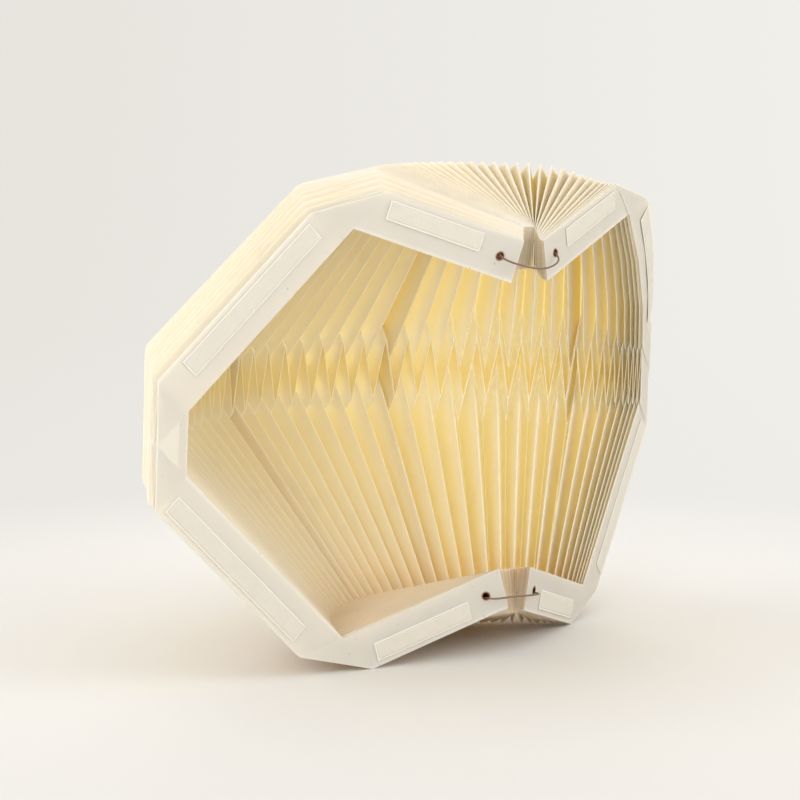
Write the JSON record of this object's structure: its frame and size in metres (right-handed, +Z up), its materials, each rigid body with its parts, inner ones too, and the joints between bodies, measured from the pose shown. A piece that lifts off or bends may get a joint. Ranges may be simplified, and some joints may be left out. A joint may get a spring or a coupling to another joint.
{
  "type": "folded paper hanging shade",
  "caption": "Accordion-pleated white paper pendant shade, fanned part-way open around its axis, with corded pleat ends and hook-and-loop closing strips.",
  "frame": {"origin": "centre of the bounding box, on the plane of the lower pleat corners that it stands on", "axes": "+Z up; the first panel faces -Y and the closing gap opens towards -Y and +X"},
  "size_m": [0.4316, 0.487, 0.4027],
  "materials": {
    "paper": "uncoated white card, matte",
    "tape": "off-white woven hook-and-loop tape",
    "cord": "brown waxed cord"
  },
  "bodies": {
    "root": {"paper_sheet_1": "paper", "paper_sheet_2": "paper", "paper_sheet_3": "paper", "paper_sheet_4": "paper", "paper_sheet_5": "paper", "front_top_tape": "tape", "front_upper_tape": "tape", "front_lower_tape": "tape", "front_foot_tape": "tape", "back_top_tape": "tape", "back_upper_tape": "tape", "back_lower_tape": "tape", "back_foot_tape": "tape", "top_cord": "cord", "foot_cord": "cord"}
  },
  "joints": []
}
